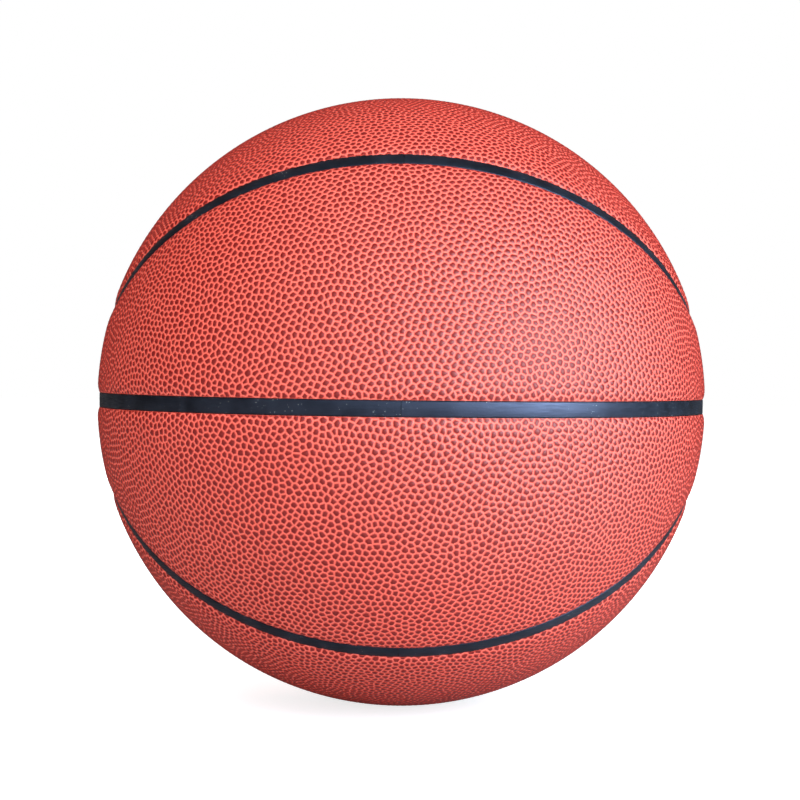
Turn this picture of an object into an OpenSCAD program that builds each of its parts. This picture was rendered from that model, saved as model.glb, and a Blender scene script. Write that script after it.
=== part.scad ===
// Indoor basketball: eight cover panels set between rubber channel strips, on a moulded
// carcass, a layer of wound yarn and a bladder with its valve.
// The origin is the middle of the ball. The front is -Y, and +Z is up.

/* [Ball] */
// Outside diameter of the inflated ball, over the cover panels
ball_d = 242; // [200:1:260]

/* [Layers] */
// Thickness of a cover panel with its fabric backing
cover_t = 1.9; // [1.6:0.1:3]
// Thickness of the moulded rubber carcass
carcass_t = 0.9; // [0.6:0.1:2]
// Thickness of the layer of wound yarn
winding_t = 0.4; // [0.3:0.1:1]
// Thickness of the rubber bladder
bladder_t = 0.7; // [0.5:0.1:1.5]
// Thickness of the cement under panels and strips, and on the flange of the valve
cement_t = 0.1; // [0.1:0.05:0.3]

/* [Channel strips] */
// Width of a channel strip
strip_w = 5.4; // [4:0.1:6.3]
// Thickness of a channel strip
strip_t = 0.6; // [0.4:0.1:0.9]
// Clearance between a strip and whatever lies beside it
strip_gap = 0.1; // [0.05:0.05:0.3]
// Gap between the butted ends of two strips
joint_gap = 0.2; // [0.1:0.1:0.5]

/* [Panel edges] */
// Width over which a panel rolls down to its wall
roll_w = 2.6; // [1:0.1:4]
// How far the panel has come down at its wall
roll_drop = 0.7; // [0.4:0.1:1]
// Slope at which the rolled edge leaves the panel's surface
roll_start_deg = 4; // [3:0.5:7]

/* [Oval seams] */
// Angle from the pole to the seam at the middle of its long side
seam_side_deg = 42.7; // [41:0.1:45]
// Angle from the pole to the seam at its far end
seam_end_deg = 74.5; // [73:0.5:76]
// Angular radius of the arc that turns the seam at its end
seam_turn_deg = 23.5; // [21:0.5:26]

/* [Valve] */
// Height of the valve above the equator, as a share of the ball's radius
valve_rise_share = 0.352; // [0.3:0.004:0.42]
// Radius of the valve housing where it passes through the wall
neck_r = 4; // [3.6:0.1:5]
// Clearance between the housing and the holes in the layers
neck_gap = 0.1; // [0.05:0.05:0.3]
// Radius of the flange that is bonded inside the bladder
flange_r = 13; // [9:0.5:18]
// Thickness of that flange
flange_t = 1.2; // [0.8:0.1:2]
// How deep the mouth of the valve sits below the surface of the cover
valve_sink = 0.6; // [0.4:0.1:1]
// Length of the housing from its mouth to its inner end
housing_l = 15; // [13:0.5:20]
// Radius of the plug's shank
plug_r = 2.4; // [2:0.1:2.7]
// Radius of the plug's bulb, which locks behind the shoulder in the housing
bulb_r = 3; // [2.8:0.05:3.2]
// Length of the bulb
bulb_l = 4; // [3:0.5:5]
// Length of the shank, from the bulb to the plug's outer end
shank_l = 8; // [7:0.5:9]
// How deep the plug's outer end lies inside the mouth of the housing
plug_sink = 0.4; // [0.2:0.1:1]
// Clearance between the plug and the housing
plug_gap = 0.05; // [0.02:0.01:0.1]
// Radius of the needle bore
needle_r = 1; // [0.8:0.05:1.2]
// Depth of the needle bore, down to the closed slit
needle_l = 9; // [7:0.5:10]
// Depth of the dimple that leads the needle in
dimple_l = 0.5; // [0.3:0.1:1]

/* [Hidden] */
$fn = 180;

// Radii of the layers, each seated on the one below it or cemented to it
ball_r = ball_d / 2;
cover_in_r = ball_r - cover_t;
carcass_r = cover_in_r - cement_t;
winding_r = carcass_r - carcass_t;
bladder_r = winding_r - winding_t;
air_r = bladder_r - bladder_t;
strip_top_r = cover_in_r + strip_t;

// Cutting shapes run this far past what they cut
overrun = roll_drop;
// Shapes that pick out one piece of the ball reach well outside it
reach = 10 * ball_r;
cube_side = 2 * reach;

// The groove between two panels holds a strip and its clearance
groove_w = strip_w + 2 * strip_gap;
wall_y = groove_w / 2;
// A rolled edge is one arc, from the top of the panel's wall out to the surface
roll_foot = [sqrt(ball_r * ball_r - wall_y * wall_y) - roll_drop, wall_y];
roll_top_y = wall_y + roll_w;
roll_top = [sqrt(ball_r * ball_r - roll_top_y * roll_top_y), roll_top_y];
roll_chord = norm(roll_top - roll_foot);
roll_along = (roll_top - roll_foot) / roll_chord;
roll_half_deg = atan2(roll_along[0], roll_along[1]) + asin(roll_top_y / ball_r) - roll_start_deg;
roll_r = roll_chord / 2 / sin(roll_half_deg);
roll_middle = (roll_top + roll_foot) / 2
    + roll_r * cos(roll_half_deg) * [-roll_along[1], roll_along[0]];

// An oval seam is four arcs of circles on the ball, which meet smoothly. A long side
// turns about an axis that leans over to the far side of the pole, and an end turns
// about an axis that leans towards that end.
end_lean = seam_end_deg - seam_turn_deg;
seam_step = seam_side_deg - seam_turn_deg;
side_lean = atan((cos(seam_step) - cos(end_lean)) / sin(seam_step));
side_turn_deg = seam_side_deg + side_lean;
side_half_sweep = atan(tan(end_lean) / sin(side_lean));
end_half_sweep = atan(tan(side_lean) / sin(end_lean));
// Steps along half of an end and half of a long side
end_steps = 10;
side_steps = 20;
// Flats across a rolled edge
roll_steps = 3;

// The housing's mouth, and the heights of the plug's parts, along the valve's axis
mouth_r = ball_r - valve_sink;
plug_top_r = mouth_r - plug_sink;
bulb_top_r = plug_top_r - shank_l;
housing_end_r = mouth_r - housing_l;
flange_top_r = air_r - cement_t;

leather = "#d5694b";
rubber = "#202329";
yarn = "#d8d2c4";
butyl = "#2b2a2c";

// Section of a strip, along +X from the middle of the ball
module strip_section() {
    intersection() {
        difference() {
            circle(r = strip_top_r);
            circle(r = cover_in_r);
        }
        translate([0, -strip_w / 2]) square([ball_r, strip_w]);
    }
}

// Section of the space that a strip and its clearance take up
module strip_space_section() {
    translate([cover_in_r - overrun, -wall_y]) square([cover_t + 2 * overrun, groove_w]);
}

// A point of the rolled edge in the groove's section, on side 1 or -1 of its middle
function roll_point(step, side) =
    let (deg = (2 * step / roll_steps - 1) * roll_half_deg)
    let (point = roll_middle + roll_r * [
        roll_along[1] * cos(deg) + roll_along[0] * sin(deg),
        roll_along[1] * sin(deg) - roll_along[0] * cos(deg)
    ])
    [point[0], side * point[1]];

// Points up a rolled edge. The last one carries it on until it is clear of the ball.
function rolled_edge(side) = concat(
    [for (step = [0:roll_steps - 1]) roll_point(step, side)],
    [2 * roll_point(roll_steps, side) - roll_point(roll_steps - 1, side)]
);

// Section of the groove between two panels
module groove_section() {
    edge = rolled_edge(1);
    half = concat([[cover_in_r - overrun, wall_y]], edge, [[ball_r + overrun, edge[roll_steps][1]]]);
    polygon(concat(half, [for (i = [len(half) - 1:-1:0]) [half[i][0], -half[i][1]]]));
}

// Turns a section along the equator
module along_equator() {
    rotate_extrude() children();
}

// Turns a section along the circle that passes both poles and both sides of the ball
module along_meridian() {
    rotate([90, 0, 0]) rotate_extrude() children();
}

function tilt_x(p, deg) = [p[0], p[1] * cos(deg) - p[2] * sin(deg), p[1] * sin(deg) + p[2] * cos(deg)];
function tilt_y(p, deg) = [p[0] * cos(deg) + p[2] * sin(deg), p[1], p[2] * cos(deg) - p[0] * sin(deg)];
function on_circle(turn, deg) = [sin(turn) * cos(deg), sin(turn) * sin(deg), cos(turn)];

// Directions from the middle of the ball along half of the upper oval seam, one end and
// then one long side, at an angle outside the seam's own line
function half_seam(outside_deg) = concat(
    [for (i = [-end_steps:end_steps])
        tilt_y(on_circle(seam_turn_deg + outside_deg, i / end_steps * end_half_sweep), end_lean)],
    [for (i = [1 - side_steps:side_steps - 1])
        tilt_x(on_circle(side_turn_deg + outside_deg, 90 + i / side_steps * side_half_sweep), side_lean)]
);

// The whole seam, moved to a point of the groove's section
function seam_through(point) =
    let (half = half_seam(atan2(point[1], point[0])))
    norm(point) * concat(half, [for (p = half) [-p[0], -p[1], p[2]]]);

// The side of a strip or of its space, this far across from the seam, up to clear of it
function plain_edge(across) = [ball_r / strip_top_r * [strip_top_r, across]];

// All that lies inside the upper oval seam, as seen from the middle of the ball. Its
// side rises from there through each of the points, which are places in the groove's
// section, and then closes over the pole far above the ball.
module inside_oval(points) {
    rows = [for (point = points) seam_through(point)];
    count = len(rows[0]);
    last = 2 + (len(rows) - 1) * count;
    polyhedron(
        points = concat([[0, 0, 0], [0, 0, reach]], [for (row = rows) each row]),
        faces = concat(
            [for (i = [0:count - 1]) [0, 2 + i, 2 + (i + 1) % count]],
            [for (start = [2:count:last - 1], i = [0:count - 1]) each [
                [start + i, start + count + i, start + count + (i + 1) % count],
                [start + i, start + count + (i + 1) % count, start + (i + 1) % count]
            ]],
            [for (i = [0:count - 1]) [1, last + (i + 1) % count, last + i]]
        )
    );
}

// All that lies on the positive side of a plane through the middle of the ball
module right_of(offset = 0) {
    translate([offset, -reach, -reach]) cube([reach, cube_side, cube_side]);
}
module behind() {
    translate([-reach, 0, -reach]) cube([cube_side, reach, cube_side]);
}
module above() {
    translate([-reach, -reach, 0]) cube([cube_side, cube_side, reach]);
}

// Lays what is drawn along +Z on the valve's axis
module on_valve_axis() {
    rotate([asin(valve_rise_share) - 90, 0, 0]) children();
}

module neck_hole() {
    on_valve_axis() cylinder(r = neck_r + neck_gap, h = ball_r + overrun);
}

// A closed layer of the ball with the hole for the valve
module layer(outer_r, inner_r) {
    difference() {
        sphere(r = outer_r);
        sphere(r = inner_r);
        neck_hole();
    }
}

module bladder() {
    color(butyl) layer(bladder_r, air_r);
}

module winding() {
    color(yarn) layer(winding_r, bladder_r);
}

module carcass() {
    color(rubber) layer(carcass_r, winding_r);
}

// Socket for the plug: a throat for the shank, and below it a room for the bulb
module plug_socket() {
    room_l = bulb_l + 2 * plug_gap;
    translate([0, 0, bulb_top_r - overrun])
        cylinder(r = plug_r + plug_gap, h = shank_l + plug_sink + 2 * overrun);
    translate([0, 0, bulb_top_r + plug_gap - room_l])
        cylinder(r = bulb_r + plug_gap, h = room_l);
    translate([0, 0, housing_end_r - overrun])
        cylinder(r = needle_r, h = housing_l);
}

module valve_housing() {
    color(butyl) on_valve_axis() difference() {
        union() {
            translate([0, 0, housing_end_r]) cylinder(r = neck_r, h = housing_l);
            intersection() {
                difference() {
                    sphere(r = flange_top_r);
                    sphere(r = flange_top_r - flange_t);
                }
                cylinder(r = flange_r, h = ball_r);
            }
        }
        plug_socket();
    }
}

module valve_plug() {
    color(rubber) on_valve_axis() difference() {
        union() {
            translate([0, 0, bulb_top_r]) cylinder(r = plug_r, h = shank_l);
            translate([0, 0, bulb_top_r - bulb_l]) cylinder(r = bulb_r, h = bulb_l);
        }
        translate([0, 0, plug_top_r - needle_l]) cylinder(r = needle_r, h = needle_l + overrun);
        translate([0, 0, plug_top_r - dimple_l])
            cylinder(r1 = needle_r, r2 = plug_r - dimple_l, h = dimple_l);
    }
}

module cover_shell() {
    difference() {
        sphere(r = ball_r);
        sphere(r = cover_in_r);
    }
}

// Upper panel at the back, between the equator and the upper oval seam
module middle_panel() {
    difference() {
        intersection() {
            cover_shell();
            behind();
            above();
        }
        inside_oval(rolled_edge(1));
        along_equator() groove_section();
        along_meridian() groove_section();
    }
}

// Back half of the cover inside the upper oval seam
module end_panel() {
    difference() {
        intersection() {
            cover_shell();
            inside_oval(rolled_edge(-1));
            behind();
        }
        along_meridian() groove_section();
    }
}

module panel_back_upper() {
    color(leather) difference() {
        middle_panel();
        neck_hole();
    }
}

module panel_front_upper() {
    color(leather) mirror([0, 1, 0]) middle_panel();
}

module panel_back_lower() {
    color(leather) mirror([0, 0, 1]) middle_panel();
}

module panel_front_lower() {
    color(leather) mirror([0, 1, 0]) mirror([0, 0, 1]) middle_panel();
}

module panel_top_back() {
    color(leather) end_panel();
}

module panel_top_front() {
    color(leather) mirror([0, 1, 0]) end_panel();
}

module panel_bottom_back() {
    color(leather) mirror([0, 0, 1]) end_panel();
}

module panel_bottom_front() {
    color(leather) mirror([0, 1, 0]) mirror([0, 0, 1]) end_panel();
}

// Right half of the strip along the equator. Its ends meet the left half at the middle
// of the front and of the back.
module equator_strip() {
    intersection() {
        along_equator() strip_section();
        right_of(joint_gap / 2);
    }
}

// Right half of the strip along the upper oval seam
module oval_strip() {
    difference() {
        intersection() {
            difference() {
                sphere(r = strip_top_r);
                sphere(r = cover_in_r);
            }
            inside_oval(plain_edge(strip_w / 2));
            right_of(joint_gap / 2);
        }
        inside_oval(plain_edge(-strip_w / 2));
    }
}

// Right half of the strip over the top of the ball, inside the upper oval seam
module crown_strip() {
    intersection() {
        along_meridian() strip_section();
        inside_oval(plain_edge(-wall_y));
        right_of(joint_gap / 2);
    }
}

// Short strip at the right of the ball, between the equator and the upper oval seam
module link_strip() {
    difference() {
        intersection() {
            along_meridian() strip_section();
            right_of();
            above();
        }
        inside_oval(plain_edge(wall_y));
        along_equator() strip_space_section();
    }
}

module to_left() {
    mirror([1, 0, 0]) children();
}

module to_bottom() {
    mirror([0, 0, 1]) children();
}

module strip_equator_right() { color(rubber) equator_strip(); }
module strip_equator_left() { color(rubber) to_left() equator_strip(); }
module strip_upper_oval_right() { color(rubber) oval_strip(); }
module strip_upper_oval_left() { color(rubber) to_left() oval_strip(); }
module strip_lower_oval_right() { color(rubber) to_bottom() oval_strip(); }
module strip_lower_oval_left() { color(rubber) to_bottom() to_left() oval_strip(); }
module strip_crown_right() { color(rubber) crown_strip(); }
module strip_crown_left() { color(rubber) to_left() crown_strip(); }
module strip_keel_right() { color(rubber) to_bottom() crown_strip(); }
module strip_keel_left() { color(rubber) to_bottom() to_left() crown_strip(); }
module strip_link_upper_right() { color(rubber) link_strip(); }
module strip_link_upper_left() { color(rubber) to_left() link_strip(); }
module strip_link_lower_right() { color(rubber) to_bottom() link_strip(); }
module strip_link_lower_left() { color(rubber) to_bottom() to_left() link_strip(); }

bladder();
valve_housing();
valve_plug();
winding();
carcass();
panel_front_upper();
panel_front_lower();
panel_back_upper();
panel_back_lower();
panel_top_front();
panel_top_back();
panel_bottom_front();
panel_bottom_back();
strip_equator_left();
strip_equator_right();
strip_upper_oval_left();
strip_upper_oval_right();
strip_lower_oval_left();
strip_lower_oval_right();
strip_crown_left();
strip_crown_right();
strip_keel_left();
strip_keel_right();
strip_link_upper_left();
strip_link_upper_right();
strip_link_lower_left();
strip_link_lower_right();
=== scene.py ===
import math
import bpy
import numpy as np
from mathutils import Matrix, Vector
from mathutils.geometry import delaunay_2d_cdt


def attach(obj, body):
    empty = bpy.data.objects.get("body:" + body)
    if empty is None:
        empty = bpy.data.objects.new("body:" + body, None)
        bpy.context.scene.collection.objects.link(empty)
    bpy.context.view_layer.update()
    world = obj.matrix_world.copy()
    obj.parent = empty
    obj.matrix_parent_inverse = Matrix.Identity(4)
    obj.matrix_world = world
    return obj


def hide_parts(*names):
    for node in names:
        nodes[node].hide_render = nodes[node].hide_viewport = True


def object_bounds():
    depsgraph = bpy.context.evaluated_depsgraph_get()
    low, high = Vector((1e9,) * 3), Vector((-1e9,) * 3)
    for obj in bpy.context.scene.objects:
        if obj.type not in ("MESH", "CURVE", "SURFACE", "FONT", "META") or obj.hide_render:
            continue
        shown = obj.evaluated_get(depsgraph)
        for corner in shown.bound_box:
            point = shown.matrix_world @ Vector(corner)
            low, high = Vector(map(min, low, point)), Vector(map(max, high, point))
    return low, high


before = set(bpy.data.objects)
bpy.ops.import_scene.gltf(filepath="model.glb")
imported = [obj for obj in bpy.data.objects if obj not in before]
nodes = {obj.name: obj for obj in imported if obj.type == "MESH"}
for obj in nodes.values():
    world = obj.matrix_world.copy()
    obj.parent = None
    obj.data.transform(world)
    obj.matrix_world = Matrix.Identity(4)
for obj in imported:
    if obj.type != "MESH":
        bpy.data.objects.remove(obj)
cadLow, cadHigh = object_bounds()
print("frame loaded,", len(nodes), "pieces")

mm = 0.001
scene = bpy.context.scene

# the ball's own sizes in metres, and the angles of its oval seams in degrees
ball = {
    "radius": 121.0 * mm,
    "coverInside": 119.1 * mm,  # inner side of the panels, where the strips lie too
    "grooveWidth": 5.6 * mm,
    "ovalSide": 42.7,  # from the pole to the middle of the oval's long side
    "ovalEnd": 74.5,  # from the pole to the oval's end
    "ovalTurn": 23.5,  # radius of the arc round the oval's end
    "valveRise": 0.352,  # height of the valve, as a share of the radius
}

# how finely the swept, turned and mirrored pieces are made
making = {
    "arcStep": 1.5,  # degrees between two rings of a sweep, or close to that
    "sweepMerge": 0.02 * mm,  # points nearer than this become one
    "latheMerge": 0.002 * mm,
    "mirrorMerge": 0.005 * mm,
    "latheSides": 64,
    "holeSides": 48,
    "insideSplits": 6,  # subdivisions of the cover's smooth inner side
    "leastSteps": 4,  # of a sweep
    "roundSteps": 3,  # of a rounded edge
    "overrun": 2 * mm,  # how far a groove's cutter reaches past the cover, inside and out
}


def pick(*pieces):
    # leaves only these pieces selected, with the first one active
    if bpy.context.object and bpy.context.object.mode != "OBJECT":
        bpy.ops.object.mode_set(mode="OBJECT")
    bpy.ops.object.select_all(action="DESELECT")
    for piece in pieces:
        piece.select_set(True)
    bpy.context.view_layer.objects.active = pieces[0]


def editAll(piece):
    pick(piece)
    bpy.ops.object.mode_set(mode="EDIT")
    bpy.ops.mesh.select_all(action="SELECT")


def leaveEdit():
    bpy.ops.object.mode_set(mode="OBJECT")


def added(name):
    # names the piece that an operator has just made
    piece = bpy.context.object
    piece.name = name
    piece.data.name = name
    return piece


def readPoints(piece):
    flat = np.zeros(len(piece.data.vertices) * 3)
    piece.data.vertices.foreach_get("co", flat)
    return flat.reshape(-1, 3)


def writePoints(piece, places):
    piece.data.vertices.foreach_set("co", places.astype(np.float32).ravel())
    piece.data.update()


def atRadius(places, radius):
    return places * (radius / np.linalg.norm(places, axis=1))[:, None]


def tidyMesh(piece):
    editAll(piece)
    bpy.ops.mesh.remove_doubles(threshold=making["mirrorMerge"])
    bpy.ops.mesh.normals_make_consistent(inside=False)
    leaveEdit()


def applyModifier(piece, kind, **settings):
    pick(piece)
    modifier = piece.modifiers.new(kind.lower(), kind)
    for name, value in settings.items():
        setattr(modifier, name, value)
    bpy.ops.object.modifier_apply(modifier=modifier.name)


def ovalArcs():
    # each long side turns about an axis that leans over the pole, each end about one
    # that leans towards that end, and neighbouring arcs meet smoothly
    side = math.radians(ball["ovalSide"])
    turn = math.radians(ball["ovalTurn"])
    endLean = math.radians(ball["ovalEnd"]) - turn
    step = side - turn
    sideLean = math.atan((math.cos(step) - math.cos(endLean)) / math.sin(step))
    return {
        "sideAxis": (0, -math.sin(sideLean), math.cos(sideLean)),
        "farAxis": (0, math.sin(sideLean), math.cos(sideLean)),
        "sideTurn": side + sideLean,
        "sideSweep": math.atan(math.tan(endLean) / math.sin(sideLean)),
        "endAxis": (math.sin(endLean), 0, math.cos(endLean)),
        "endTurn": turn,
        "endSweep": math.atan(math.tan(sideLean) / math.sin(endLean)),
    }


oval = ovalArcs()


def seamDistance(places):
    # how far each point is from the nearest seam's middle, along the surface
    away = np.abs(atRadius(places, 1))
    sideAxis = np.array(oval["sideAxis"])
    endAxis = np.array(oval["endAxis"])
    fromSide = np.abs(np.arccos(np.clip(away @ sideAxis, -1, 1)) - oval["sideTurn"])
    fromEnd = np.abs(np.arccos(np.clip(away @ endAxis, -1, 1)) - oval["endTurn"])
    divider = np.cross(endAxis, sideAxis)
    atEnd = away @ divider * np.sign(divider[0]) > 0
    fromOval = np.where(atEnd, fromEnd, fromSide)
    fromCircles = np.arcsin(np.minimum(away[:, 1], away[:, 2]))
    return np.minimum(fromOval, fromCircles) * ball["radius"]


# camera, at the photograph's place: a little above the ball's middle and turned a little
view = {
    "distance": 702 * mm,
    "rise": 1.1,
    "roll": 0.69,
    "focal": 78.16,
    "sideStep": -1.15 / 800,  # the ball's middle lies this far from the picture's middle
    "downStep": 1.96 / 800,
    "nearest": 10 * mm,
}


def addCamera():
    rise = math.radians(view["rise"])
    bpy.ops.object.camera_add()
    camera = added("camera")
    camera.location = (0, -view["distance"] * math.cos(rise), view["distance"] * math.sin(rise))
    tilt = Matrix.Rotation(math.pi / 2 - rise, 3, "X")
    turn = Matrix.Rotation(math.radians(view["roll"]), 3, "Z")
    camera.rotation_euler = (tilt @ turn).to_euler()
    camera.data.lens = view["focal"]
    camera.data.shift_x = view["sideStep"]
    camera.data.shift_y = view["downStep"]
    camera.data.clip_start = view["nearest"]
    scene.camera = camera


addCamera()
print("camera placed")


# rings and strips: a section at the top of the ball, laid to its start and swept round
def sectionLoop(name, low, high, width, corner=0):
    # an upright rectangle across the seam, from low to high, drawn as a loop of edges
    bpy.ops.object.select_all(action="DESELECT")
    bpy.ops.mesh.primitive_plane_add(
        size=1, location=(0, 0, (low + high) / 2), rotation=(0, math.pi / 2, 0))
    loop = added(name)
    bpy.ops.object.transform_apply(location=False, rotation=True, scale=False)
    loop.scale = (1, width, high - low)
    bpy.ops.object.transform_apply(location=True, rotation=False, scale=True)
    editAll(loop)
    if corner:
        bpy.ops.mesh.bevel(affect="VERTICES", offset=corner, segments=making["roundSteps"])
        bpy.ops.mesh.select_all(action="SELECT")
    bpy.ops.mesh.delete(type="ONLY_FACE")
    leaveEdit()
    return loop


def turnPiece(piece, angle, axis):
    piece.data.transform(Matrix.Rotation(angle, 4, axis))


def sweep(loop, arcs, closed):
    # spins the loop along arcs, each an axis through the ball's middle and an angle
    editAll(loop)
    for axis, angle in arcs:
        steps = max(making["leastSteps"], round(abs(angle) / math.radians(making["arcStep"])))
        bpy.ops.mesh.spin(steps=steps, angle=-angle, center=(0, 0, 0), axis=axis)
    bpy.ops.mesh.select_all(action="SELECT")
    bpy.ops.mesh.remove_doubles(threshold=making["sweepMerge"])
    if not closed:
        bpy.ops.mesh.select_all(action="SELECT")
        bpy.ops.mesh.fill_holes(sides=0)
    bpy.ops.mesh.select_all(action="SELECT")
    bpy.ops.mesh.normals_make_consistent(inside=False)
    leaveEdit()
    return loop


def mirrored(piece, name, x=1, z=1):
    pick(piece)
    bpy.ops.object.duplicate()
    twin = added(name)
    twin.data.transform(Matrix.Diagonal((x, 1, z, 1)))
    tidyMesh(twin)
    return twin


# cover: pebbled panels of composite leather, with edges rolled into the grooves
cover = {
    "pebbles": 31400,  # 2.6 mm apart, as counted in the photograph
    "scatter": 0.27,  # how far they start from an even spiral, as a share of their spacing
    "calming": 8,
    "evenShare": 0.6,  # from 0, cells that differ most in size, to 1, the most even ones
    "seed": 7,
    "pebbleHeight": 0.36 * mm,
    "footWidth": 0.19 * mm,
    "footRise": 0.02 * mm,
    "shoulderWidth": 0.31 * mm,
    "crown": 0.06 * mm,
    "creaseAngle": 41,  # sharp where a pebble stands on the valley, round at its top
    "rollWidth": 4.4 * mm,  # how far in from the groove an edge bends down
    "rollDrop": 0.75 * mm,
    "pressWidth": 0.8 * mm,  # how far in from the groove the pebbles are pressed flat
    "pressedShare": 0.35,  # of their height is left at the groove
    "holeRadius": 4.1 * mm,
    "holeDepth": 20 * mm,
    "edgeReach": 3,  # how far from a cut edge the leather is told its distance, in millimetres
}


def pebblePlaces():
    # an even spiral from end to end of the X axis, with each place shaken a little
    count = cover["pebbles"]
    order = np.arange(count) + 0.5
    along = 1 - 2 * order / count
    turn = order * math.pi * (3 - math.sqrt(5))
    out = np.sqrt(1 - along ** 2)
    places = np.stack([along, out * np.cos(turn), out * np.sin(turn)], axis=1)
    spacing = math.sqrt(4 * math.pi / count)
    shaken = np.random.default_rng(cover["seed"]).normal(0, cover["scatter"] * spacing, places.shape)
    return atRadius(places + shaken, 1)


def pebbleNet():
    # triangles between the places, found on a flat projection from the +X end, which
    # lies where two grooves cross, so that the last few round it are cut away later
    places = pebblePlaces()
    flat = places[:, 1:] / (1 - places[:, :1])
    found = delaunay_2d_cdt([Vector(p) for p in flat], [], [], 0, 1e-9)
    order = [same[0] for same in found[3]]
    bpy.ops.object.select_all(action="DESELECT")
    bpy.ops.mesh.primitive_plane_add()
    net = added("cover")
    net.data.clear_geometry()
    net.data.from_pydata((places[order] * ball["radius"]).tolist(), [], found[2])
    editAll(net)
    bpy.ops.mesh.fill_holes(sides=0)
    bpy.ops.mesh.quads_convert_to_tris()
    bpy.ops.mesh.normals_make_consistent(inside=False)
    bpy.ops.mesh.beautify_fill(angle_limit=math.pi)
    leaveEdit()
    return net


def netTriangles(net):
    # the corners' numbers and places in each triangle, and the way that it faces
    places = readPoints(net)
    corners = np.zeros(len(net.data.polygons) * 3, int)
    net.data.polygons.foreach_get("vertices", corners)
    corners = corners.reshape(-1, 3)
    ends = places[corners]
    upward = np.cross(ends[:, 1] - ends[:, 0], ends[:, 2] - ends[:, 0])
    return corners, ends, atRadius(upward, 1)


def calmNet(net):
    # moves each place to the middle of the cell round it, so that the cells even out
    places = readPoints(net)
    corners, ends, upward = netTriangles(net)
    middle = upward * np.einsum("ij,ij->i", upward, ends[:, 0])[:, None]
    total = np.zeros_like(places)
    weight = np.full(len(places), 1e-15)
    for k in range(3):
        half = (ends[:, k] + ends[:, (k + 1) % 3]) / 2
        for own, side in ((k, 1), ((k + 1) % 3, -1)):
            corner = ends[:, own]
            sliver = side * np.einsum("ij,ij->i", np.cross(half - corner, middle - corner), upward)
            sliver = np.maximum(sliver, 0)
            weight += np.bincount(corners[:, own], sliver, len(places))
            for axis in range(3):
                centre = (corner[:, axis] + half[:, axis] + middle[:, axis]) / 3
                total[:, axis] += np.bincount(corners[:, own], centre * sliver, len(places))
    writePoints(net, atRadius(total / weight[:, None], ball["radius"]))
    editAll(net)
    bpy.ops.mesh.beautify_fill(angle_limit=math.pi)
    leaveEdit()


def cellPattern():
    # each triangle of the net becomes a corner between three cells
    net = pebbleNet()
    for _ in range(cover["calming"]):
        calmNet(net)
    _, ends, upward = netTriangles(net)
    share = cover["evenShare"]
    corners = (1 - share) * atRadius(ends.mean(axis=1), 1) + share * upward
    group = bpy.data.node_groups.new("cellsFromPoints", "GeometryNodeTree")
    group.interface.new_socket("Geometry", in_out="INPUT", socket_type="NodeSocketGeometry")
    group.interface.new_socket("Geometry", in_out="OUTPUT", socket_type="NodeSocketGeometry")
    entry = group.nodes.new("NodeGroupInput")
    dual = group.nodes.new("GeometryNodeDualMesh")
    result = group.nodes.new("NodeGroupOutput")
    group.links.new(entry.outputs[0], dual.inputs[0])
    group.links.new(dual.outputs[0], result.inputs[0])
    applyModifier(net, "NODES", node_group=group)
    writePoints(net, atRadius(corners, ball["radius"] - cover["pebbleHeight"]))
    return net


def pebbledSphere():
    sheet = cellPattern()
    editAll(sheet)
    rest = cover["pebbleHeight"] - cover["footRise"] - cover["crown"]
    bpy.ops.mesh.inset(use_individual=True, thickness=cover["footWidth"], depth=cover["footRise"])
    bpy.ops.mesh.inset(use_individual=True, thickness=cover["shoulderWidth"], depth=rest)
    bpy.ops.mesh.poke(offset=cover["crown"])
    leaveEdit()
    return sheet


def valleyRadius(fromGroove):
    # where the valleys lie: near a groove they drop along an arc that starts level
    width = cover["rollWidth"]
    arc = (width ** 2 + cover["rollDrop"] ** 2) / (2 * cover["rollDrop"])
    into = np.clip(width - fromGroove, 0, width)
    return ball["radius"] - cover["pebbleHeight"] - (arc - np.sqrt(arc ** 2 - into ** 2))


def heightLeft(fromGroove):
    flat = cover["pressedShare"]
    return flat + (1 - flat) * np.clip(fromGroove / cover["pressWidth"], 0, 1)


def bendEdges(sheet):
    places = readPoints(sheet)
    fromGroove = seamDistance(places) - ball["grooveWidth"] / 2
    rise = np.linalg.norm(places, axis=1) - (ball["radius"] - cover["pebbleHeight"])
    radius = valleyRadius(fromGroove) + rise * heightLeft(fromGroove)
    writePoints(sheet, atRadius(places, 1) * radius[:, None])


def addInnerSide(sheet):
    bpy.ops.object.select_all(action="DESELECT")
    bpy.ops.mesh.primitive_ico_sphere_add(
        subdivisions=making["insideSplits"], radius=ball["coverInside"])
    inside = added("coverInside")
    editAll(inside)
    bpy.ops.mesh.flip_normals()
    leaveEdit()
    pick(sheet, inside)
    bpy.ops.object.join()


def cutAway(piece, tool):
    applyModifier(piece, "BOOLEAN", operation="DIFFERENCE", solver="MANIFOLD", object=tool)
    bpy.data.objects.remove(tool)


def grooveCutters():
    def cutterLoop(name):
        past = making["overrun"]
        return sectionLoop(name, ball["coverInside"] - past, ball["radius"] + past, ball["grooveWidth"])

    equator = cutterLoop("cutEquator")
    turnPiece(equator, math.pi / 2, "X")
    sweep(equator, [((0, 0, 1), 2 * math.pi)], True)
    meridian = cutterLoop("cutMeridian")
    sweep(meridian, [((0, 1, 0), 2 * math.pi)], True)
    upper = cutterLoop("cutUpperOval")
    turnPiece(upper, -math.radians(ball["ovalSide"]), "X")
    left = (-oval["endAxis"][0], 0, oval["endAxis"][2])
    sweep(upper, [
        (oval["sideAxis"], -oval["sideSweep"]),
        (oval["endAxis"], -2 * oval["endSweep"]),
        (oval["farAxis"], -2 * oval["sideSweep"]),
        (left, -2 * oval["endSweep"]),
        (oval["sideAxis"], -oval["sideSweep"]),
    ], True)
    lower = mirrored(upper, "cutLowerOval", z=-1)
    return [equator, meridian, upper, lower]


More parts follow.
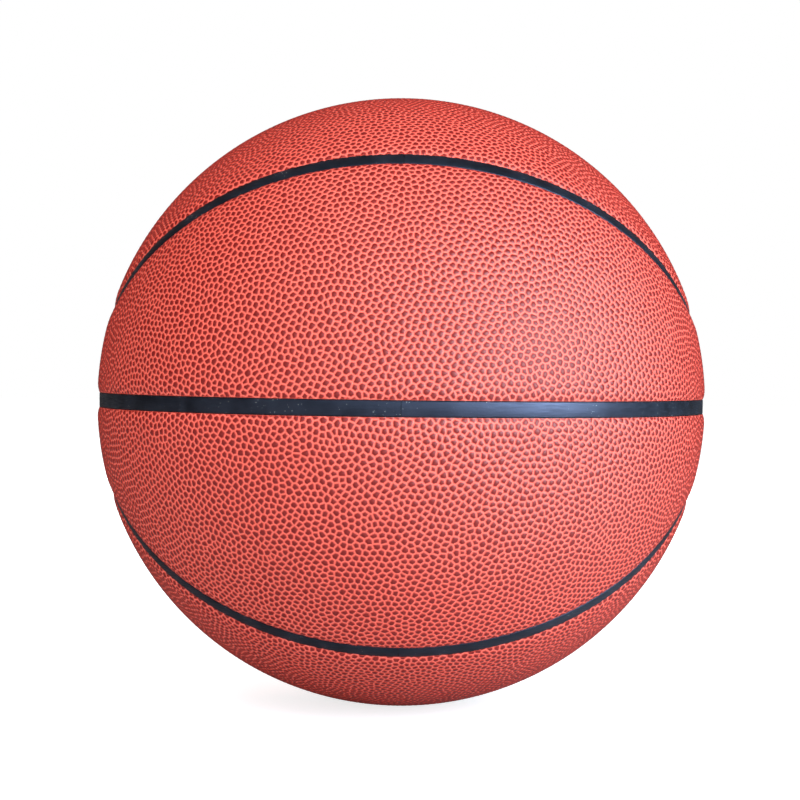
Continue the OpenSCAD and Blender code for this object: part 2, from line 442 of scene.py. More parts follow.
def valveTurn():
    return Matrix.Rotation(math.asin(ball["valveRise"]) - math.pi / 2, 4, "X")


def valveHoleCutter():
    bpy.ops.object.select_all(action="DESELECT")
    bpy.ops.mesh.primitive_cylinder_add(
        vertices=making["holeSides"], radius=cover["holeRadius"], depth=cover["holeDepth"],
        location=(0, 0, ball["radius"]))
    tool = added("cutValveHole")
    bpy.ops.object.transform_apply(location=True)
    tool.data.transform(valveTurn())
    return tool


def markPebbles(panel):
    # for the leather's colours: how far each point stands up out of the valleys, from 0 to
    # 1, and how far it lies from the nearest cut edge, in millimetres
    places = readPoints(panel)
    fromGroove = seamDistance(places) - ball["grooveWidth"] / 2
    rise = np.linalg.norm(places, axis=1) - valleyRadius(fromGroove)
    rise = rise / heightLeft(fromGroove) / cover["pebbleHeight"]
    mark = panel.data.attributes.new("pebble", "FLOAT", "POINT")
    mark.data.foreach_set("value", np.clip(rise, 0, 1).astype(np.float32))
    valveAxis = np.array(valveTurn() @ Vector((0, 0, 1)))
    fromAxis = np.linalg.norm(np.cross(places, valveAxis), axis=1)
    atBack = places @ valveAxis > 0
    fromHole = np.where(atBack, fromAxis - cover["holeRadius"], ball["radius"])
    fromEdge = np.minimum(fromGroove, fromHole)
    edge = panel.data.attributes.new("edgeDistance", "FLOAT", "POINT")
    edge.data.foreach_set("value", np.clip(fromEdge / mm, 0, cover["edgeReach"]).astype(np.float32))


def panelName(piece):
    middle = readPoints(piece).mean(axis=0)
    depth = "front" if middle[1] < 0 else "back"
    height = "upper" if middle[2] > 0 else "lower"
    end = "top" if middle[2] > 0 else "bottom"
    if abs(middle[2]) > ball["radius"] * math.cos(math.radians(ball["ovalSide"])):
        return "panel_" + end + "_" + depth
    return "panel_" + depth + "_" + height


def makeCover():
    sheet = pebbledSphere()
    print("  pebbles raised")
    bendEdges(sheet)
    addInnerSide(sheet)
    for tool in grooveCutters():
        cutAway(sheet, tool)
    cutAway(sheet, valveHoleCutter())
    print("  grooves cut")
    editAll(sheet)
    bpy.ops.mesh.separate(type="LOOSE")
    leaveEdit()
    parts = [o for o in bpy.context.selected_objects if o.type == "MESH"]
    for part in parts:
        name = panelName(part)
        pick(part)
        bpy.ops.object.shade_smooth_by_angle(angle=math.radians(cover["creaseAngle"]))
        markPebbles(part)
        part.name = name + "_leather"
        part.data.name = part.name
        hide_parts(name)
        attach(part, "root")
    return parts


panels = makeCover()
for panel in panels:
    print("   ", panel.name, len(panel.data.vertices), "points", len(panel.data.polygons), "faces")
print("cover made,", len(panels), "panels")


# strips of black rubber in the grooves
strip = {
    "width": 5.4 * mm,
    "thickness": 1.05 * mm,  # about level with the panels' edges
    "corner": 0.3 * mm,
    "jointGap": 0.2 * mm,  # between the ends of two strips
    "creaseAngle": 40,
}


def stripLoop(name):
    top = ball["coverInside"] + strip["thickness"]
    return sectionLoop(name, ball["coverInside"], top, strip["width"], strip["corner"])


def makeStrips():
    top = ball["coverInside"] + strip["thickness"]
    gap = strip["jointGap"] / 2 / top
    wall = ball["grooveWidth"] / 2 / top
    end = math.radians(ball["ovalEnd"])
    made = []

    equator = stripLoop("strip_equator_right_rubber")
    turnPiece(equator, math.pi / 2, "X")
    turnPiece(equator, gap, "Z")
    made.append((sweep(equator, [((0, 0, 1), math.pi - 2 * gap)], False), "equator"))

    upper = stripLoop("strip_upper_oval_right_rubber")
    turnPiece(upper, -math.radians(ball["ovalSide"]), "X")
    sideAxis = Vector(oval["sideAxis"])
    small = gap / math.sin(oval["sideTurn"])
    upper.data.transform(Matrix.Rotation(-small, 4, sideAxis))
    made.append((sweep(upper, [
        (oval["sideAxis"], small - oval["sideSweep"]),
        (oval["endAxis"], -2 * oval["endSweep"]),
        (oval["farAxis"], small - oval["sideSweep"]),
    ], False), "oval"))

    crown = stripLoop("strip_crown_right_rubber")
    turnPiece(crown, gap, "Y")
    made.append((sweep(crown, [((0, 1, 0), end - wall - gap)], False), "crown"))

    link = stripLoop("strip_link_upper_right_rubber")
    turnPiece(link, end + wall, "Y")
    made.append((sweep(link, [((0, 1, 0), math.pi / 2 - end - 2 * wall)], False), "link"))
    return made


def finishStrips():
    pieces = []
    for piece, kind in makeStrips():
        names = {
            "equator": ["strip_equator_left"],
            "oval": ["strip_upper_oval_left", "strip_lower_oval_right", "strip_lower_oval_left"],
            "crown": ["strip_crown_left", "strip_keel_right", "strip_keel_left"],
            "link": ["strip_link_upper_left", "strip_link_lower_right", "strip_link_lower_left"],
        }[kind]
        pieces.append(piece)
        for name in names:
            x = -1 if "left" in name else 1
            z = -1 if "lower" in name or "keel" in name else 1
            pieces.append(mirrored(piece, name + "_rubber", x, z))
    for piece in pieces:
        pick(piece)
        bpy.ops.object.shade_smooth_by_angle(angle=math.radians(strip["creaseAngle"]))
        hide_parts(piece.name.removesuffix("_rubber"))
        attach(piece, "root")
    return pieces


strips = finishStrips()
print("strips made,", len(strips))


# valve: a butyl housing bonded into the bladder, and the plug that seals its socket
valve = {
    "mouth": 120.4 * mm,  # heights along the valve's axis, from the ball's middle
    "housingEnd": 105.4 * mm,
    "neckRadius": 4.0 * mm,
    "socketRadius": 2.45 * mm,
    "roomRadius": 3.05 * mm,
    "roomTop": 112.05 * mm,
    "roomEnd": 107.95 * mm,
    "flangeRadius": 13.0 * mm,
    "flangeOutside": 116.9 * mm,  # the flange is part of a sphere inside the bladder
    "flangeInside": 115.7 * mm,
    "plugTop": 120.0 * mm,
    "plugRadius": 2.4 * mm,
    "bulbRadius": 3.0 * mm,
    "bulbTop": 112.0 * mm,
    "bulbEnd": 108.0 * mm,
    "needleRadius": 1.0 * mm,
    "needleEnd": 111.0 * mm,
    "dimpleRadius": 1.9 * mm,
    "dimpleDepth": 0.5 * mm,
    "rounding": 0.18 * mm,
    "roundedFrom": 40,  # edges sharper than this many degrees are rounded
    "creaseAngle": 35,
    "flangeRings": 4,
}


def lathe(name, profile, closed):
    # a ring at the first radius and height, extruded from each to the next along the axis
    bpy.ops.object.select_all(action="DESELECT")
    radius, height = profile[0]
    bpy.ops.mesh.primitive_circle_add(
        vertices=making["latheSides"], radius=radius, location=(0, 0, height))
    piece = added(name)
    bpy.ops.object.transform_apply(location=True)
    editAll(piece)
    for newRadius, newHeight in profile[1:]:
        bpy.ops.mesh.extrude_region_move(TRANSFORM_OT_translate={"value": (0, 0, newHeight - height)})
        scale = newRadius / radius
        bpy.ops.transform.resize(value=(scale, scale, 1), center_override=(0, 0, 0))
        radius, height = newRadius, newHeight
    bpy.ops.mesh.select_all(action="SELECT")
    bpy.ops.mesh.remove_doubles(threshold=making["latheMerge"])
    if not closed:
        bpy.ops.mesh.fill_holes(sides=0)
    bpy.ops.mesh.select_all(action="SELECT")
    bpy.ops.mesh.normals_make_consistent(inside=False)
    leaveEdit()
    applyModifier(
        piece, "BEVEL", width=valve["rounding"], segments=making["roundSteps"],
        limit_method="ANGLE", angle_limit=math.radians(valve["roundedFrom"]))
    piece.data.transform(valveTurn())
    pick(piece)
    bpy.ops.object.shade_smooth_by_angle(angle=math.radians(valve["creaseAngle"]))
    return piece


def flangeSide(radius, outward):
    # heights on the flange's sphere, between the neck and the flange's rim
    near, far = valve["neckRadius"], valve["flangeRadius"]
    rings = valve["flangeRings"]
    stops = [near + (far - near) * k / rings for k in range(rings + 1)]
    side = [(stop, math.sqrt(radius ** 2 - stop ** 2)) for stop in stops]
    return side if outward else side[::-1]


def makeValve():
    neck = valve["neckRadius"]
    housing = lathe("valve_housing_butyl", [
        (valve["needleRadius"], valve["housingEnd"]),
        (neck, valve["housingEnd"]),
        *flangeSide(valve["flangeInside"], True),
        *flangeSide(valve["flangeOutside"], False),
        (neck, valve["mouth"]),
        (valve["socketRadius"], valve["mouth"]),
        (valve["socketRadius"], valve["roomTop"]),
        (valve["roomRadius"], valve["roomTop"]),
        (valve["roomRadius"], valve["roomEnd"]),
        (valve["needleRadius"], valve["roomEnd"]),
        (valve["needleRadius"], valve["housingEnd"]),
    ], True)
    plug = lathe("valve_plug_rubber", [
        (valve["bulbRadius"], valve["bulbEnd"]),
        (valve["bulbRadius"], valve["bulbTop"]),
        (valve["plugRadius"], valve["bulbTop"]),
        (valve["plugRadius"], valve["plugTop"]),
        (valve["dimpleRadius"], valve["plugTop"]),
        (valve["needleRadius"], valve["plugTop"] - valve["dimpleDepth"]),
        (valve["needleRadius"], valve["needleEnd"]),
    ], False)
    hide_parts("valve_housing")
    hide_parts("valve_plug")
    for piece in (housing, plug):
        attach(piece, "root")
    return housing, plug


valveHousing, valvePlug = makeValve()
print("valve made")


def fromHex(text):
    # an sRGB hex colour as the linear colour that a shader takes
    parts = [int(text[i:i + 2], 16) / 255 for i in (0, 2, 4)]
    linear = [p / 12.92 if p <= 0.04045 else ((p + 0.055) / 1.055) ** 2.4 for p in parts]
    return (*linear, 1)


def addNode(tree, kind, settings=(), **sockets):
    # sockets are given by name or, after an i, by number, and take a value or a link
    node = tree.nodes.new(kind)
    for name, value in dict(settings).items():
        setattr(node, name, value)
    for name, value in sockets.items():
        key = int(name[1:]) if name[0] == "i" and name[1:].isdigit() else name.replace("_", " ")
        if isinstance(value, bpy.types.NodeSocket):
            tree.links.new(value, node.inputs[key])
        else:
            node.inputs[key].default_value = value
    return node


def newMaterial(name):
    material = bpy.data.materials.new(name)
    material.use_nodes = True
    tree = material.node_tree
    tree.nodes.clear()
    shader = addNode(tree, "ShaderNodeBsdfPrincipled")
    addNode(tree, "ShaderNodeOutputMaterial", Surface=shader.outputs["BSDF"])
    return material, tree, shader


def dress(piece, material):
    piece.data.materials.clear()
    piece.data.materials.append(material)


leather = {
    "valleyWithHighlight": "f96c5a",  # the orange between the pebbles, made pale pink as a painted highlight along the valleys
    # the same with its painted highlight, a little deeper
    "valleyDeepWithHighlight": "f0604e",
    "side": "cc3c2d",  # round the sides of a pebble: the network's orange, deepened as painted shade on the flanks
    "top": "780a09",
    "topPale": "84110c",
    "topCrownHighlight": "8c1814",  # painted highlight: the lighter middle of a pebble, where its domed top catches the light
    "cutEdgeShade": "1a1414",  # painted shade: near black along a panel's cut edge, where the groove's gap lies in shadow
    "cutEdgeWidth": 0.2,  # in millimetres, as the attribute is
    "paleRim": 2.5,  # how many such widths from the cut the pebbles' tops are fully dark again
    "sideRises": (0.06, 0.36),  # the pebble's height at which its colours change, as shares
    "topRises": (0.66, 0.82),
    # where the painted highlight on a pebble's middle starts and ends, and how strong it is
    "crownHighlightRises": (0.84, 1.0),
    "crownHighlightShare": 0.5,
    "glossRises": (0.3, 0.84),
    "cloudSize": 40 * mm,
    "spotSize": 2.5 * mm,
    "grainSize": 0.35 * mm,
    "grainRise": 0.05 * mm,
    "grainStrength": 0.15,
    "sheen": "ffe6e0",
    "roughness": 0.44,
    "valleyRoughness": 0.54,
    "ior": 1.7,
}


def compositeLeather():
    # composite leather, embossed and rubbed with two colours: orange valleys round dark
    # maroon pebbles, with a soft waxy gloss; painted light too: pale pink highlights in the
    # valleys, deeper red shade on the pebbles' sides, a lighter highlight on each pebble's
    # middle, and near black shade along the cut edges
    material, tree, shader = newMaterial("compositeLeather")
    place = addNode(tree, "ShaderNodeTexCoord").outputs["Object"]
    pebble = addNode(tree, "ShaderNodeAttribute", {"attribute_name": "pebble"}).outputs["Fac"]
    broad = addNode(tree, "ShaderNodeTexNoise", Vector=place, Scale=1 / leather["cloudSize"], Detail=3.0)
    spots = addNode(tree, "ShaderNodeTexNoise", Vector=place, Scale=1 / leather["spotSize"], Detail=2.0)
    grain = addNode(tree, "ShaderNodeTexNoise", Vector=place, Scale=1 / leather["grainSize"], Detail=3.0)
    softStep = {"interpolation_type": "SMOOTHSTEP"}
    onTop = addNode(
        tree, "ShaderNodeMapRange", softStep,
        Value=pebble, From_Min=leather["topRises"][0], From_Max=leather["topRises"][1])
    # painted highlight: each pebble's middle turns lighter, as where its domed top catches the light
    crownHighlight = addNode(
        tree, "ShaderNodeMapRange", softStep, Value=pebble, From_Min=leather["crownHighlightRises"][0],
        From_Max=leather["crownHighlightRises"][1], To_Max=leather["crownHighlightShare"])
    mixColours = {"data_type": "RGBA"}
    # the valleys: orange with a painted highlight of pale pink
    low = addNode(
        tree, "ShaderNodeMix", mixColours,
        i0=broad.outputs["Fac"], i6=fromHex(leather["valleyWithHighlight"]), i7=fromHex(leather["valleyDeepWithHighlight"]))
    # painted shade: the pebbles' sides turn a deeper red than the valleys
    upSide = addNode(
        tree, "ShaderNodeMapRange", softStep,
        Value=pebble, From_Min=leather["sideRises"][0], From_Max=leather["sideRises"][1])
    sided = addNode(
        tree, "ShaderNodeMix", mixColours,
        i0=upSide.outputs["Result"], i6=low.outputs[2], i7=fromHex(leather["side"]))
    high = addNode(
        tree, "ShaderNodeMix", mixColours,
        i0=spots.outputs["Fac"], i6=fromHex(leather["top"]), i7=fromHex(leather["topPale"]))
    # the pebbles' tops with their painted highlight
    worn = addNode(
        tree, "ShaderNodeMix", mixColours,
        i0=crownHighlight.outputs["Result"], i6=high.outputs[2], i7=fromHex(leather["topCrownHighlight"]))
    cut = addNode(tree, "ShaderNodeAttribute", {"attribute_name": "edgeDistance"}).outputs["Fac"]
    width = leather["cutEdgeWidth"]
    inside = addNode(tree, "ShaderNodeMapRange", Value=cut, From_Min=width / 2, From_Max=width)
    pastRim = addNode(
        tree, "ShaderNodeMapRange", Value=cut, From_Min=width, From_Max=leather["paleRim"] * width)
    topShown = addNode(
        tree, "ShaderNodeMath", {"operation": "MULTIPLY"},
        i0=onTop.outputs["Result"], i1=pastRim.outputs["Result"])
    colour = addNode(
        tree, "ShaderNodeMix", mixColours,
        i0=topShown.outputs[0], i6=sided.outputs[2], i7=worn.outputs[2])
    # painted shade: near black along the cut edges, beside the grooves and round the valve's hole
    edgeShaded = addNode(
        tree, "ShaderNodeMix", mixColours,
        i0=inside.outputs["Result"], i6=fromHex(leather["cutEdgeShade"]), i7=colour.outputs[2])
    bump = addNode(
        tree, "ShaderNodeBump",
        Height=grain.outputs["Fac"], Strength=leather["grainStrength"],
        Distance=leather["grainRise"])
    polish = addNode(
        tree, "ShaderNodeMapRange", Value=pebble, From_Min=leather["glossRises"][0],
        From_Max=leather["glossRises"][1], To_Min=leather["valleyRoughness"],
        To_Max=leather["roughness"])
    tree.links.new(edgeShaded.outputs[2], shader.inputs["Base Color"])
    tree.links.new(polish.outputs["Result"], shader.inputs["Roughness"])
    tree.links.new(bump.outputs["Normal"], shader.inputs["Normal"])
    shader.inputs["Specular Tint"].default_value = fromHex(leather["sheen"])
    shader.inputs["IOR"].default_value = leather["ior"]
    return material


rubber = {
    "colour": "0f1115",
    "worn": "20232a",
    "dust": "b4b2ac",
    "sheen": "dad6ff",
    "roughness": 0.35,
    "roughnessWorn": 0.5,
    "patch": 9 * mm,
    "patchNoise": (0.35, 0.7),  # the noise's values between which the rubber turns worn
    "dustNoise": (0.52, 0.66),  # the same where grit gathers
    "scratchNoise": (0.4, 0.62),
    "grain": 0.7 * mm,
    "scratch": 0.35 * mm,  # across the scratches, which run level, as along the equator
    "scratchStretch": (0.06, 0.06, 1),
    "relief": 0.06 * mm,
    "reliefStrength": 0.5,
    "grit": 0.3 * mm,
    "gritShare": 0.02,
    "gritRadius": 0.42,  # as a share of its cell
    "ior": 1.75,
}


def gritGrains(tree, place):
    # 1 on a grain in a small share of the cells, 0 elsewhere
    cells = addNode(tree, "ShaderNodeTexVoronoi", Vector=place, Scale=1 / rubber["grit"])
    chosen = addNode(tree, "ShaderNodeSeparateColor", Color=cells.outputs["Color"])
    rare = addNode(
        tree, "ShaderNodeMath", {"operation": "LESS_THAN"},
        i0=chosen.outputs["Red"], i1=rubber["gritShare"])
    near = addNode(
        tree, "ShaderNodeMath", {"operation": "LESS_THAN"},
        i0=cells.outputs["Distance"], i1=rubber["gritRadius"])
    return addNode(
        tree, "ShaderNodeMath", {"operation": "MULTIPLY"}, i0=rare.outputs[0], i1=near.outputs[0])


def stripRubber():
    # black butadiene rubber, moulded flat and rubbed by hands and floors: a satin sheen,
    # broken by level scratches, with dull patches and a little grit on it
    material, tree, shader = newMaterial("wornBlackRubber")
    place = addNode(tree, "ShaderNodeTexCoord").outputs["Object"]
    cloudy = addNode(tree, "ShaderNodeTexNoise", Vector=place, Scale=1 / rubber["patch"], Detail=5.0)
    drawn = addNode(tree, "ShaderNodeMapping", Vector=place, Scale=rubber["scratchStretch"])
    scratches = addNode(
        tree, "ShaderNodeTexNoise", Vector=drawn.outputs[0], Scale=1 / rubber["scratch"], Detail=4.0)
    patches = addNode(
        tree, "ShaderNodeMapRange",
        Value=cloudy.outputs["Fac"], From_Min=rubber["patchNoise"][0], From_Max=rubber["patchNoise"][1])
    grit = gritGrains(tree, place)
    gathered = addNode(
        tree, "ShaderNodeMapRange",
        Value=cloudy.outputs["Fac"], From_Min=rubber["dustNoise"][0], From_Max=rubber["dustNoise"][1])
    dusty = addNode(
        tree, "ShaderNodeMath", {"operation": "MULTIPLY"},
        i0=grit.outputs[0], i1=gathered.outputs["Result"])
    mixColours = {"data_type": "RGBA"}
    base = addNode(
        tree, "ShaderNodeMix", mixColours,
        i0=patches.outputs["Result"], i6=fromHex(rubber["colour"]), i7=fromHex(rubber["worn"]))
    colour = addNode(
        tree, "ShaderNodeMix", mixColours,
        i0=dusty.outputs[0], i6=base.outputs[2], i7=fromHex(rubber["dust"]))
    dull = addNode(
        tree, "ShaderNodeMapRange", Value=scratches.outputs["Fac"],
        From_Min=rubber["scratchNoise"][0], From_Max=rubber["scratchNoise"][1],
        To_Min=rubber["roughness"], To_Max=rubber["roughnessWorn"])
    grained = addNode(tree, "ShaderNodeTexNoise", Vector=place, Scale=1 / rubber["grain"], Detail=2.0)
    relief = addNode(
        tree, "ShaderNodeMath", {"operation": "ADD"},
        i0=scratches.outputs["Fac"], i1=grained.outputs["Fac"])
    bump = addNode(
        tree, "ShaderNodeBump",
        Height=relief.outputs[0], Strength=rubber["reliefStrength"], Distance=rubber["relief"])
    tree.links.new(colour.outputs[2], shader.inputs["Base Color"])
    tree.links.new(dull.outputs["Result"], shader.inputs["Roughness"])
    tree.links.new(bump.outputs["Normal"], shader.inputs["Normal"])
    shader.inputs["Specular Tint"].default_value = fromHex(rubber["sheen"])
    shader.inputs["IOR"].default_value = rubber["ior"]
    return material


valveFinish = {
    "butyl": "141416",
    "butylChalky": "2c2c2e",
    "butylRoughness": 0.5,
    "plug": "0e0f11",
    "plugDusty": "3a3a3a",
    "plugRoughness": 0.42,
    "talcSize": 1.2 * mm,
    "talcNoise": (0.45, 0.75),
    "poreSize": 0.25 * mm,
    "poreDepth": 0.05 * mm,
    "poreStrength": 0.3,
}
rubberIor = 1.52  # of butyl and natural rubber, straight from the mould


def valveRubber(name, colour, chalky, roughness):
    # rubber straight from the mould, which keeps a little talc in its pores
    material, tree, shader = newMaterial(name)
    place = addNode(tree, "ShaderNodeTexCoord").outputs["Object"]
    talc = addNode(
        tree, "ShaderNodeTexNoise", Vector=place, Scale=1 / valveFinish["talcSize"], Detail=5.0)
    pores = addNode(
        tree, "ShaderNodeTexNoise", Vector=place, Scale=1 / valveFinish["poreSize"], Detail=2.0)
    share = addNode(
        tree, "ShaderNodeMapRange", Value=talc.outputs["Fac"],
        From_Min=valveFinish["talcNoise"][0], From_Max=valveFinish["talcNoise"][1])
    tone = addNode(
        tree, "ShaderNodeMix", {"data_type": "RGBA"},
        i0=share.outputs["Result"], i6=fromHex(colour), i7=fromHex(chalky))
    bump = addNode(
        tree, "ShaderNodeBump",
        Height=pores.outputs["Fac"], Strength=valveFinish["poreStrength"],
        Distance=valveFinish["poreDepth"])
    tree.links.new(tone.outputs[2], shader.inputs["Base Color"])
    tree.links.new(bump.outputs["Normal"], shader.inputs["Normal"])
    shader.inputs["Roughness"].default_value = roughness
    shader.inputs["IOR"].default_value = rubberIor
    return material


layers = {
    "butyl": "1c1c1f",
    "talc": "6e6c68",
    "talcGrain": 1.5 * mm,
    "talcRise": 0.05 * mm,
    "yarn": "e8e0cc",
    # painted shade: the darker yarn tone on the low parts of the threads
    "yarnShade": "a89a7c",
    "yarnPitch": 0.7 * mm,  # the real threads lie 0.3 mm apart, too fine to show
    "yarnRise": 0.1 * mm,
    "yarnStrength": 0.6,
    "yarnWaver": 0.4,
    "yarnLays": [(0.3, 0.2, 0), (1.2, 0.5, 0.4), (0.7, 1.9, 1.1)],  # turns in radians
    "bundleSize": 18 * mm,
    "bundleLead": 6.0,  # how far a bundle's height outweighs a thread's own
    "yarnRoughness": 0.7,
    "yarnIor": 1.53,
    "carcass": "1a1a1c",
    "carcassBuffed": "3a3836",
    "buffedGrain": 0.6 * mm,
    "buffedRise": 0.15 * mm,
    "cloudSize": 14 * mm,
    "cloudNoise": (0.35, 0.7),
    "grainStrength": 0.5,
    "rubberRoughness": 0.62,
}


def layerRubber(name, colour, dusty, size, rise):
    # unpainted rubber of an inner layer, dull with talc or roughened for the cement
    material, tree, shader = newMaterial(name)
    place = addNode(tree, "ShaderNodeTexCoord").outputs["Object"]
    cloudy = addNode(tree, "ShaderNodeTexNoise", Vector=place, Scale=1 / layers["cloudSize"], Detail=4.0)
    grain = addNode(tree, "ShaderNodeTexNoise", Vector=place, Scale=1 / size, Detail=3.0)
    share = addNode(
        tree, "ShaderNodeMapRange", Value=cloudy.outputs["Fac"],
        From_Min=layers["cloudNoise"][0], From_Max=layers["cloudNoise"][1])
    tone = addNode(
        tree, "ShaderNodeMix", {"data_type": "RGBA"},
        i0=share.outputs["Result"], i6=fromHex(colour), i7=fromHex(dusty))
    bump = addNode(
        tree, "ShaderNodeBump",
        Height=grain.outputs["Fac"], Strength=layers["grainStrength"], Distance=rise)
    tree.links.new(tone.outputs[2], shader.inputs["Base Color"])
    tree.links.new(bump.outputs["Normal"], shader.inputs["Normal"])
    shader.inputs["Roughness"].default_value = layers["rubberRoughness"]
    shader.inputs["IOR"].default_value = rubberIor
    return material


def nylonYarn():
    # nylon yarn wound round the ball under tension: threads in three crossing directions,
    # each on top where its own noise is the highest, dull and slightly fibrous, with painted shade where
    # they dip
    material, tree, shader = newMaterial("nylonYarn")
    place = addNode(tree, "ShaderNodeTexCoord").outputs["Object"]
    height = None
    for number, turned in enumerate(layers["yarnLays"]):
        lay = addNode(tree, "ShaderNodeMapping", Vector=place, Rotation=turned)
        threads = addNode(
            tree, "ShaderNodeTexWave", {"bands_direction": "X"}, Vector=lay.outputs[0],
            Scale=math.pi / 10 / layers["yarnPitch"], Distortion=layers["yarnWaver"], Detail=1.0)
        bundle = addNode(
            tree, "ShaderNodeTexNoise", {"noise_dimensions": "4D"}, Vector=lay.outputs[0],
            Scale=1 / layers["bundleSize"], W=float(number))
        raised = addNode(
            tree, "ShaderNodeMath", {"operation": "MULTIPLY_ADD"},
            i0=bundle.outputs["Fac"], i1=layers["bundleLead"], i2=threads.outputs["Fac"])
        height = raised.outputs[0] if height is None else addNode(
            tree, "ShaderNodeMath", {"operation": "MAXIMUM"}, i0=height, i1=raised.outputs[0]).outputs[0]
    within = addNode(tree, "ShaderNodeMath", {"operation": "FRACT"}, i0=height)
    # painted shade: the yarn turns darker towards the low part of each thread
    tone = addNode(
        tree, "ShaderNodeMix", {"data_type": "RGBA"},
        i0=within.outputs[0], i6=fromHex(layers["yarnShade"]), i7=fromHex(layers["yarn"]))
    bump = addNode(
        tree, "ShaderNodeBump",
        Height=height, Strength=layers["yarnStrength"], Distance=layers["yarnRise"])
    tree.links.new(tone.outputs[2], shader.inputs["Base Color"])
    tree.links.new(bump.outputs["Normal"], shader.inputs["Normal"])
    shader.inputs["Roughness"].default_value = layers["yarnRoughness"]
    shader.inputs["IOR"].default_value = layers["yarnIor"]
    return material


coverLeather = compositeLeather()
for panel in panels:
    dress(panel, coverLeather)
stripMaterial = stripRubber()
for piece in strips:
    dress(piece, stripMaterial)
dress(valveHousing, valveRubber(
    "mouldedButyl", valveFinish["butyl"], valveFinish["butylChalky"], valveFinish["butylRoughness"]))
dress(valvePlug, valveRubber(
    "mouldedPlugRubber", valveFinish["plug"], valveFinish["plugDusty"], valveFinish["plugRoughness"]))
dress(nodes["bladder"], layerRubber(
    "talcedButyl", layers["butyl"], layers["talc"], layers["talcGrain"], layers["talcRise"]))
dress(nodes["winding"], nylonYarn())
dress(nodes["carcass"], layerRubber(
    "buffedCarcassRubber", layers["carcass"], layers["carcassBuffed"], layers["buffedGrain"],
    layers["buffedRise"]))
print("materials made")


stage = {
    "floor": "e0e0e0",
    "floorInGloss": "4c4c4c",
    "floorReach": 6.0,
    "floorGlow": 0.75,  # what the camera sees on top of the lamps' light, so that it is white
    "farGlow": 1.0,  # the same away from the ball, where the lamps' light doesn't reach
    "farReach": 1.3,
    "floorGloss": 0.06,  # what gloss on the ball shows of that
    "shine": 1.2,  # the lit part of the floor beside the ball, as gloss shows it
    "shineTint": "c8ebff",
    "shinePlace": (0.27, -0.22, -ball["radius"]),  # in front of it, to the right
    "shineReach": 0.36,
    "ambient": 0.28,
    "roomGloss": 0.015,  # what gloss shows of the dim room on the camera's side
    "backdropGloss": 0.14,
    "backdropFrom": 0.35,  # how far a direction leans to the back where the backdrop starts
}

lamps = {
    # degrees round from the camera's side to the right, degrees up, distance, width and
    # height in metres, watts, colour, and whether it shows in gloss
    "windowLamp": (54, 3, 1.3, 0.7, 1.7, 32.0, "c8ebff", True),
    "broadLamp": (42, 4, 1.3, 1.2, 1.6, 20.0, "c8ebff", True),
    "frontLamp": (6, 26, 1.5, 1.5, 1.2, 5.5, "c8ebff", True),
    "lowLamp": (5, 0, 1.4, 1.6, 0.2, 3.5, "ffffff", False),
    "topLamp": (-20, 58, 1.4, 1.2, 1.2, 11.0, "ffffff", False),
    "fillLamp": (-50, 5, 1.6, 1.2, 1.0, 5.5, "ffffff", False),
    "backLamp": (180, 25, 1.6, 1.6, 1.2, 13.0, "ffffff", False),
}


def addFloor():
    bpy.ops.object.select_all(action="DESELECT")
    bpy.ops.mesh.primitive_plane_add(size=2 * stage["floorReach"], location=(0, 0, cadLow.z))
    floor = added("floor")
    bpy.ops.object.transform_apply(location=True)
    material = bpy.data.materials.new("whiteFloor")
    material.use_nodes = True
    tree = material.node_tree
    tree.nodes.clear()
    rays = addNode(tree, "ShaderNodeLightPath").outputs
    through = addNode(
        tree, "ShaderNodeMath", {"operation": "MAXIMUM"},
        i0=rays["Is Glossy Ray"], i1=rays["Is Transmission Ray"])
    inGloss = addNode(
        tree, "ShaderNodeMath", {"operation": "MULTIPLY"}, i0=through.outputs[0], i1=stage["floorGloss"])
    place = addNode(tree, "ShaderNodeTexCoord").outputs["Object"]
    away = addNode(tree, "ShaderNodeVectorMath", {"operation": "LENGTH"}, i0=place)
    seen = addNode(
        tree, "ShaderNodeMapRange", {"interpolation_type": "SMOOTHSTEP"}, Value=away.outputs["Value"],
        From_Min=2 * ball["radius"], From_Max=stage["farReach"],
        To_Min=stage["floorGlow"], To_Max=stage["farGlow"])
    level = addNode(
        tree, "ShaderNodeMath", {"operation": "MULTIPLY_ADD"},
        i0=rays["Is Camera Ray"], i1=seen.outputs["Result"], i2=inGloss.outputs[0])
    tone = addNode(
        tree, "ShaderNodeMix", {"data_type": "RGBA"},
        i0=through.outputs[0], i6=fromHex(stage["floor"]), i7=fromHex(stage["floorInGloss"]))
    paint = addNode(tree, "ShaderNodeBsdfDiffuse", Color=tone.outputs[2])
    glow = addNode(tree, "ShaderNodeEmission", Strength=level.outputs[0])
    fromShine = addNode(
        tree, "ShaderNodeVectorMath", {"operation": "DISTANCE"}, i0=place, i1=stage["shinePlace"])
    lit = addNode(
        tree, "ShaderNodeMapRange", {"interpolation_type": "SMOOTHSTEP"},
        Value=fromShine.outputs["Value"], From_Min=0.0, From_Max=stage["shineReach"],
        To_Min=stage["shine"], To_Max=0.0)
    litInGloss = addNode(
        tree, "ShaderNodeMath", {"operation": "MULTIPLY"}, i0=through.outputs[0], i1=lit.outputs["Result"])
    shine = addNode(
        tree, "ShaderNodeEmission", Color=fromHex(stage["shineTint"]), Strength=litInGloss.outputs[0])
    glows = addNode(tree, "ShaderNodeAddShader", i0=glow.outputs[0], i1=shine.outputs[0])
    both = addNode(tree, "ShaderNodeAddShader", i0=paint.outputs[0], i1=glows.outputs[0])
    addNode(tree, "ShaderNodeOutputMaterial", Surface=both.outputs[0])
    dress(floor, material)


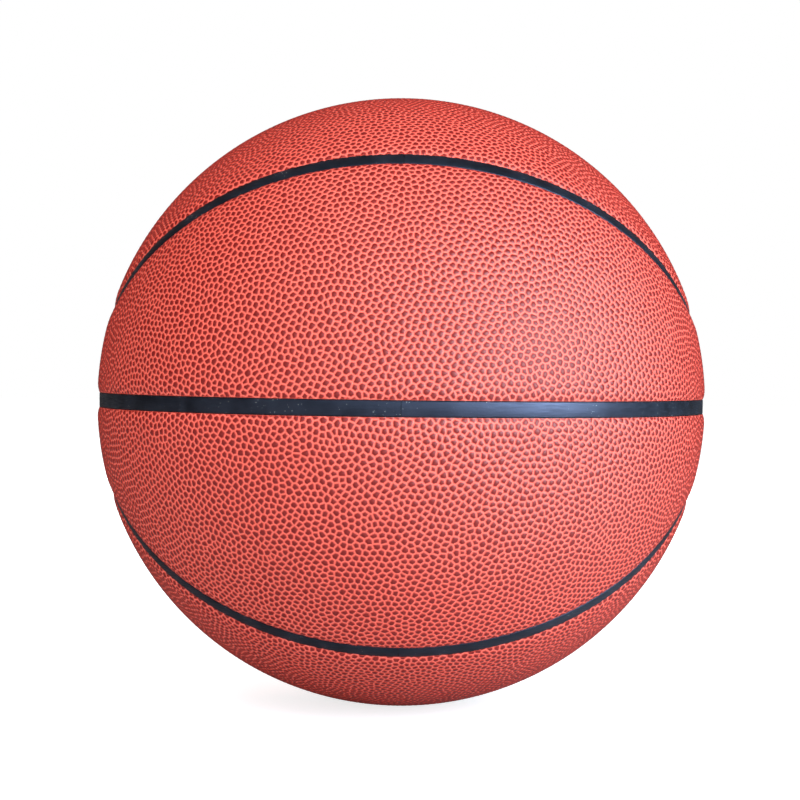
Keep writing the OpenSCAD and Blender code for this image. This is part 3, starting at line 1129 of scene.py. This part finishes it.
def addWorld():
    # white to the camera; in gloss the pale backdrop shows behind the ball, on +Y, and a
    # dim room on the camera's side; all else gets an even soft light
    world = bpy.data.worlds.new("studio")
    world.use_nodes = True
    scene.world = world
    tree = world.node_tree
    tree.nodes.clear()
    rays = addNode(tree, "ShaderNodeLightPath").outputs
    direction = addNode(tree, "ShaderNodeTexCoord").outputs["Generated"]
    across = addNode(tree, "ShaderNodeSeparateXYZ", Vector=direction)
    backdrop = addNode(
        tree, "ShaderNodeMapRange", {"interpolation_type": "SMOOTHSTEP"}, Value=across.outputs["Y"],
        From_Min=stage["backdropFrom"], From_Max=1.0, To_Min=stage["roomGloss"],
        To_Max=stage["backdropGloss"])
    through = addNode(
        tree, "ShaderNodeMath", {"operation": "MAXIMUM"},
        i0=rays["Is Glossy Ray"], i1=rays["Is Transmission Ray"])
    shown = addNode(
        tree, "ShaderNodeMix", {"data_type": "FLOAT"},
        i0=through.outputs[0], i2=stage["ambient"], i3=backdrop.outputs["Result"])
    level = addNode(
        tree, "ShaderNodeMix", {"data_type": "FLOAT"},
        i0=rays["Is Camera Ray"], i2=shown.outputs[0], i3=1.0)
    back = addNode(tree, "ShaderNodeBackground", Color=(1, 1, 1, 1), Strength=level.outputs[0])
    addNode(tree, "ShaderNodeOutputWorld", Surface=back.outputs[0])


def addLamp(name, azimuth, height, distance, width, tall, power, tint, inGloss):
    turn = math.radians(azimuth)
    rise = math.radians(height)
    place = distance * Vector((
        math.sin(turn) * math.cos(rise), -math.cos(turn) * math.cos(rise), math.sin(rise)))
    bpy.ops.object.light_add(type="AREA", location=place)
    lamp = added(name)
    lamp.rotation_euler = place.to_track_quat("Z", "Y").to_euler()
    lamp.data.shape = "RECTANGLE"
    lamp.data.size = width
    lamp.data.size_y = tall
    lamp.data.energy = power
    lamp.data.color = fromHex(tint)[:3]
    lamp.visible_glossy = inGloss


addFloor()
addWorld()
for name, facts in lamps.items():
    addLamp(name, *facts)
scene.view_settings.view_transform = "Standard"
print("stage set")
